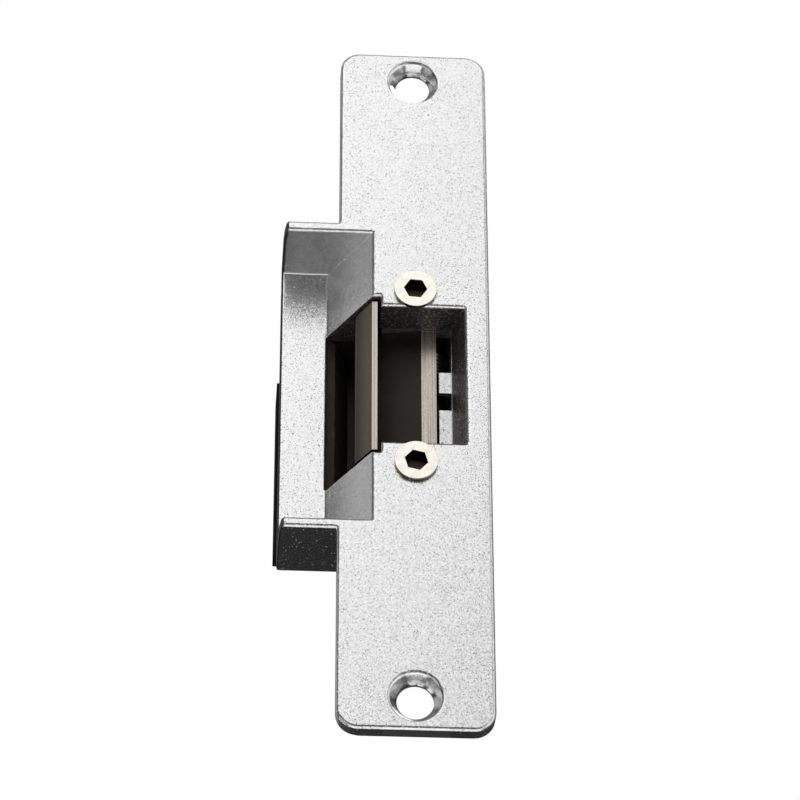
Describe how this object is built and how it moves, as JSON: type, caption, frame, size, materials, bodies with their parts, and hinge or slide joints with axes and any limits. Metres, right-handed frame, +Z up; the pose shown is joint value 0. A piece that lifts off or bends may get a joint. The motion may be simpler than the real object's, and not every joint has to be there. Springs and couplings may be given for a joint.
{
  "type": "electric door strike",
  "caption": "Slim rim-style electric strike: long face plate with a side lip and ramp, spring-closed swinging keeper, solenoid-driven locking lever in a rear housing, and two flying leads.",
  "frame": {"origin": "centre of the face plate's front surface, midway between the two fixing holes", "axes": "+Z up along the face plate, +Y from the face into the door frame, +X towards the closed side of the latch pocket, away from the ramp"},
  "size_m": [0.0401, 0.0289, 0.15],
  "materials": {
    "casting_paint": "fine metallic silver-grey paint",
    "housing_zinc": "bare zinc casting, satin grey",
    "cover_plate": "zinc-plated sheet steel",
    "screw_nickel": "nickel plated, satin",
    "screw_zinc": "bright zinc plated",
    "black_moulding": "fine texture",
    "keeper_nickel": "satin nickel over sintered steel, ground strip",
    "pin_steel": "ground",
    "clip_steel": "phosphated black",
    "washer_brass": "satin",
    "spring_steel": "drawn wire",
    "lever_steel": "zinc plated, hardened",
    "soft_iron": "turned, bright",
    "bobbin_nylon": "natural moulded",
    "copper_wire": "enamelled winding wire",
    "coil_tape": "amber film",
    "lead_red": "PVC insulation",
    "lead_black": "PVC insulation",
    "tinned_wire": "tinned strands",
    "grommet_rubber": "moulded",
    "diode_body": "epoxy"
  },
  "bodies": {
    "frame": {"face_casting": "casting_paint", "face_screws": "screw_nickel", "housing": "housing_zinc", "rear_cover": "cover_plate", "rear_cover_screws": "screw_zinc", "coil_cover": "black_moulding", "coil_cover_screw": "screw_zinc", "keeper_pin": "pin_steel", "keeper_pin_clip": "clip_steel", "keeper_washers": "washer_brass", "keeper_spring": "spring_steel", "lever_pin": "pin_steel", "lever_clip": "clip_steel", "plunger_spring": "spring_steel", "solenoid_frame": "cover_plate", "fixed_core": "soft_iron", "bobbin": "bobbin_nylon", "coil_winding": "copper_wire", "coil_tape": "coil_tape", "lead_positive": "lead_red", "lead_negative": "lead_black", "lead_ends": "tinned_wire", "cable_grommet": "grommet_rubber", "suppressor_diode": "diode_body"},
    "keeper": {"keeper": "keeper_nickel"},
    "lever": {"locking_lever": "lever_steel"},
    "plunger": {"plunger": "soft_iron", "link_pin": "pin_steel"}
  },
  "joints": [
    {"name": "keeper_swing", "type": "hinge", "parent": "frame", "child": "keeper", "pos_m": [0.0042, 0.0152, 0], "axis": [0, 0, -1], "range_deg": [0, 45], "stiffness_Nm_per_rad": 0.02, "springref_deg": -20.05, "deforming": ["keeper_spring"]},
    {"name": "plunger_stroke", "type": "slide", "parent": "frame", "child": "plunger", "axis": [0, 0, -1], "range_m": [0, 0.0036], "stiffness_N_per_m": 150, "springref_m": -0.002, "deforming": ["plunger_spring"]},
    {"name": "lever_swing", "type": "hinge", "parent": "frame", "child": "lever", "pos_m": [-0.0042, 0.0224, 0.027], "axis": [0, -1, 0], "range_deg": [0, 12.3]}
  ],
  "couplings": [
    {"joint": "lever_swing", "follows": "plunger_stroke", "rad_per_m": 59.2}
  ]
}
